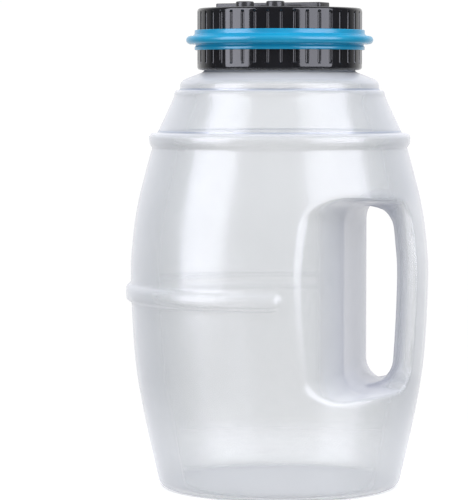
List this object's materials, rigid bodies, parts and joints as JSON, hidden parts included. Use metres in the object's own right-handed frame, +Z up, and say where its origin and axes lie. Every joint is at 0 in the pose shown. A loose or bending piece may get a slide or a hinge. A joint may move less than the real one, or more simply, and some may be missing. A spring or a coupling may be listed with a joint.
{
  "type": "coin counting jar",
  "caption": "Barrel-shaped translucent coin jar with a see-through handle and a black screw lid that has a coin slot, a display, two buttons and a grip band.",
  "frame": {"origin": "centre of the jar's flat bottom, on the axis of the jar and its neck", "axes": "+Z up along the jar's axis, +X towards the handle, +Y completing a right-handed frame; the jar is symmetric about the XZ plane, and the lid's face is turned 15 degrees clockwise seen from above"},
  "size_m": [0.1512, 0.1536, 0.2416],
  "materials": {
    "jar_plastic": "frosted translucent moulding",
    "black_gloss": "glossy moulded",
    "deck_satin": "satin moulded",
    "blue_rubber": "smooth semi-gloss soft plastic",
    "clear_plastic": "clear polished",
    "lcd_green": "reflective liquid-crystal cell, pale green-grey",
    "white_plastic": "moulded",
    "zebra_rubber": "striped silicone",
    "board_green": "solder-masked laminate",
    "black_epoxy": "cast epoxy",
    "grey_rubber": "moulded silicone",
    "steel": "bright plated",
    "copper": "phosphor bronze",
    "black_plastic": "fine texture",
    "cell_label": "printed foil sleeve, no print",
    "red_wire": "insulated wire",
    "black_wire": "insulated wire"
  },
  "bodies": {
    "jar": {"jar_body": "jar_plastic"},
    "lid_ring": {"grip_band": "blue_rubber"},
    "lid": {"lid_cap": "black_gloss", "coin_guide": "deck_satin", "display_lens": "clear_plastic", "lcd_glass": "lcd_green", "lcd_frame": "white_plastic", "zebra_strip": "zebra_rubber", "circuit_board": "board_green", "chip_blob": "black_epoxy", "button_pad": "grey_rubber", "contact_leaf": "copper", "lever_spring": "steel", "base_plate": "black_plastic", "plate_screw_1": "steel", "plate_screw_2": "steel", "plate_screw_3": "steel", "plate_screw_4": "steel", "board_screw_1": "steel", "board_screw_2": "steel", "board_screw_3": "steel", "battery_1": "cell_label", "battery_2": "cell_label", "battery_contact_1": "steel", "battery_contact_2": "steel", "battery_bridge": "steel", "battery_spring_1": "steel", "battery_spring_2": "steel", "wire_red": "red_wire", "wire_black": "black_wire"},
    "lever": {"coin_lever": "black_plastic", "lever_tip": "steel", "lever_pin": "steel", "contact_disc": "copper"},
    "plus": {"plus_button": "deck_satin"},
    "minus": {"minus_button": "deck_satin"},
    "battery_cover": {"battery_door": "black_plastic", "battery_door_screw": "steel"}
  },
  "joints": [
    {"name": "lid_rise", "type": "slide", "parent": "jar", "child": "lid_ring", "axis": [0, 0, 1], "range_m": [0, 0.00625]},
    {"name": "lid_turn", "type": "hinge", "parent": "lid_ring", "child": "lid", "pos_m": [0, 0, 0.223], "axis": [0, 0, 1], "range_deg": [0, 450]},
    {"name": "coin_lever_swing", "type": "hinge", "parent": "lid", "child": "lever", "pos_m": [0.02045, -0.01449, 0.2332], "axis": [-0.2588, -0.9659, 0], "range_deg": [0, 95], "stiffness_Nm_per_rad": 0.0008, "springref_deg": -28.65},
    {"name": "plus_press", "type": "slide", "parent": "lid", "child": "plus", "axis": [0, 0, -1], "range_m": [0, 0.0012], "stiffness_N_per_m": 400, "springref_m": -0.0005},
    {"name": "minus_press", "type": "slide", "parent": "lid", "child": "minus", "axis": [0, 0, -1], "range_m": [0, 0.0012], "stiffness_N_per_m": 400, "springref_m": -0.0005},
    {"name": "battery_door_lift", "type": "slide", "parent": "lid", "child": "battery_cover", "axis": [0, 0, -1], "range_m": [0, 0.02]}
  ],
  "couplings": [
    {"joint": "lid_rise", "follows": "lid_turn", "m_per_rad": 0.00079577}
  ]
}
